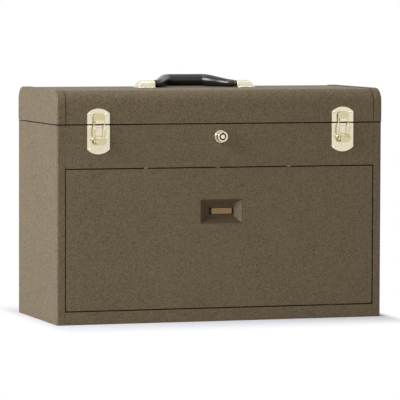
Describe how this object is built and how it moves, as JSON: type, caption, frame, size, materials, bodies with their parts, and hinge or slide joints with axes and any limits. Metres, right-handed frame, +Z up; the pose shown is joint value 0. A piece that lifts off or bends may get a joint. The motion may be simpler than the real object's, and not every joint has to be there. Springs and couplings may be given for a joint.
{
  "type": "portable tool box",
  "caption": "Steel machinist's tool box with drawers behind a lift-out front panel, a till under the hinged lid, draw latches, a plunger lock and a folding top handle.",
  "frame": {"origin": "middle of the base, on the floor", "axes": "+Z up, the front with latches, lock and panel faces -Y, +X to the right seen from the front"},
  "size_m": [0.512, 0.2355, 0.366],
  "materials": {
    "paint": "brown wrinkle enamel",
    "zinc": "zinc plated steel",
    "nickel": "warm nickel plate",
    "brass": "satin brass",
    "grip": "glossy black moulding",
    "felt": "brown felt"
  },
  "bodies": {
    "case": {"left_end": "paint", "right_end": "paint", "back_panel": "paint", "bottom_pan": "paint", "front_header": "paint", "till_floor": "paint", "till_felt": "felt", "mid_shelf": "zinc", "storage_shelf": "zinc", "drawer_partitions": "zinc", "drawer_runners": "zinc", "case_rivets": "nickel", "hinge_case_leaf": "zinc", "hinge_pin": "zinc", "stay_pivots": "zinc", "latch_plates": "nickel", "latch_pivots": "nickel", "lock_housing": "nickel", "lock_nut": "zinc", "lock_bar_guides": "zinc"},
    "lid": {"lid_shell": "paint", "lid_left_end": "paint", "lid_right_end": "paint", "hinge_lid_leaf": "zinc", "latch_keepers": "nickel", "lid_rivets": "nickel", "stay_studs": "zinc", "lock_strike": "zinc", "handle_brackets": "nickel"},
    "handle": {"handle_grip": "grip", "handle_pins": "zinc"},
    "stay_left": {"stay_left": "zinc"},
    "stay_right": {"stay_right": "zinc"},
    "lever_left": {"latch_lever_left": "nickel"},
    "lever_right": {"latch_lever_right": "nickel"},
    "link_left": {"latch_link_left": "nickel"},
    "link_right": {"latch_link_right": "nickel"},
    "plunger": {"lock_plunger": "nickel"},
    "core": {"lock_core": "nickel"},
    "lock_bar": {"lock_bar": "zinc"},
    "front_panel": {"front_panel": "paint", "finger_cup": "paint", "pull_plate": "brass"},
    "drawer_bottom": {"drawer_bottom": "paint", "knobs_bottom": "nickel"},
    "drawer_lower": {"drawer_lower": "paint", "knobs_lower": "nickel"},
    "drawer_centre": {"drawer_centre": "paint", "knob_centre": "nickel"},
    "drawer_left_low": {"drawer_left_low": "paint", "knob_left_low": "nickel"},
    "drawer_left_high": {"drawer_left_high": "paint", "knob_left_high": "nickel"},
    "drawer_right_low": {"drawer_right_low": "paint", "knob_right_low": "nickel"},
    "drawer_right_high": {"drawer_right_high": "paint", "knob_right_high": "nickel"}
  },
  "joints": [
    {"name": "lid_hinge", "type": "hinge", "parent": "case", "child": "lid", "pos_m": [0, 0.1106, 0.2958], "axis": [-1, 0, 0], "range_deg": [0, 95]},
    {"name": "handle_hinge", "type": "hinge", "parent": "lid", "child": "handle", "pos_m": [-0.005, 0.01, 0.3525], "axis": [1, 0, 0], "range_deg": [0, 165]},
    {"name": "stay_left_hinge", "type": "hinge", "parent": "case", "child": "stay_left", "pos_m": [-0.25075, 0.08489, 0.26516], "axis": [-1, 0, 0], "range_deg": [0, 47.5]},
    {"name": "stay_right_hinge", "type": "hinge", "parent": "case", "child": "stay_right", "pos_m": [0.25075, 0.08489, 0.26516], "axis": [-1, 0, 0], "range_deg": [0, 47.5]},
    {"name": "lever_left_hinge", "type": "hinge", "parent": "case", "child": "lever_left", "pos_m": [-0.1923, -0.1126, 0.275], "axis": [-1, 0, 0], "range_deg": [0, 110]},
    {"name": "link_left_hinge", "type": "hinge", "parent": "lever_left", "child": "link_left", "pos_m": [-0.1923, -0.11656, 0.27104], "axis": [-1, 0, 0], "range_deg": [-143, 0]},
    {"name": "lever_right_hinge", "type": "hinge", "parent": "case", "child": "lever_right", "pos_m": [0.1923, -0.1126, 0.275], "axis": [-1, 0, 0], "range_deg": [0, 110]},
    {"name": "link_right_hinge", "type": "hinge", "parent": "lever_right", "child": "link_right", "pos_m": [0.1923, -0.11656, 0.27104], "axis": [-1, 0, 0], "range_deg": [-143, 0]},
    {"name": "plunger_slide", "type": "slide", "parent": "case", "child": "plunger", "axis": [0, 1, 0], "range_m": [0, 0.008]},
    {"name": "key_turn", "type": "hinge", "parent": "plunger", "child": "core", "pos_m": [-0.003, -0.12, 0.2767], "axis": [0, 1, 0], "range_deg": [0, 90]},
    {"name": "lock_bar_slide", "type": "slide", "parent": "case", "child": "lock_bar", "axis": [0, 0, -1], "range_m": [0, 0.006]},
    {"name": "panel_slide", "type": "slide", "parent": "case", "child": "front_panel", "axis": [0, -1, 0], "range_m": [0, 0.24]},
    {"name": "drawer_bottom_slide", "type": "slide", "parent": "case", "child": "drawer_bottom", "axis": [0, -1, 0], "range_m": [0, 0.15]},
    {"name": "drawer_lower_slide", "type": "slide", "parent": "case", "child": "drawer_lower", "axis": [0, -1, 0], "range_m": [0, 0.15]},
    {"name": "drawer_centre_slide", "type": "slide", "parent": "case", "child": "drawer_centre", "axis": [0, -1, 0], "range_m": [0, 0.15]},
    {"name": "drawer_left_low_slide", "type": "slide", "parent": "case", "child": "drawer_left_low", "axis": [0, -1, 0], "range_m": [0, 0.15]},
    {"name": "drawer_left_high_slide", "type": "slide", "parent": "case", "child": "drawer_left_high", "axis": [0, -1, 0], "range_m": [0, 0.15]},
    {"name": "drawer_right_low_slide", "type": "slide", "parent": "case", "child": "drawer_right_low", "axis": [0, -1, 0], "range_m": [0, 0.15]},
    {"name": "drawer_right_high_slide", "type": "slide", "parent": "case", "child": "drawer_right_high", "axis": [0, -1, 0], "range_m": [0, 0.15]}
  ],
  "couplings": [
    {"joint": "stay_left_hinge", "follows": "lid_hinge", "ratio": 0.5},
    {"joint": "stay_right_hinge", "follows": "lid_hinge", "ratio": 0.5},
    {"joint": "link_left_hinge", "follows": "lever_left_hinge", "ratio": -1.3},
    {"joint": "link_right_hinge", "follows": "lever_right_hinge", "ratio": -1.3},
    {"joint": "lock_bar_slide", "follows": "plunger_slide", "ratio": 0.75},
    {"joint": "drawer_bottom_slide", "follows": "panel_slide", "ratio": 0.625},
    {"joint": "drawer_lower_slide", "follows": "panel_slide", "ratio": 0.625},
    {"joint": "drawer_centre_slide", "follows": "panel_slide", "ratio": 0.625},
    {"joint": "drawer_left_low_slide", "follows": "panel_slide", "ratio": 0.625},
    {"joint": "drawer_left_high_slide", "follows": "panel_slide", "ratio": 0.625},
    {"joint": "drawer_right_low_slide", "follows": "panel_slide", "ratio": 0.625},
    {"joint": "drawer_right_high_slide", "follows": "panel_slide", "ratio": 0.625}
  ]
}
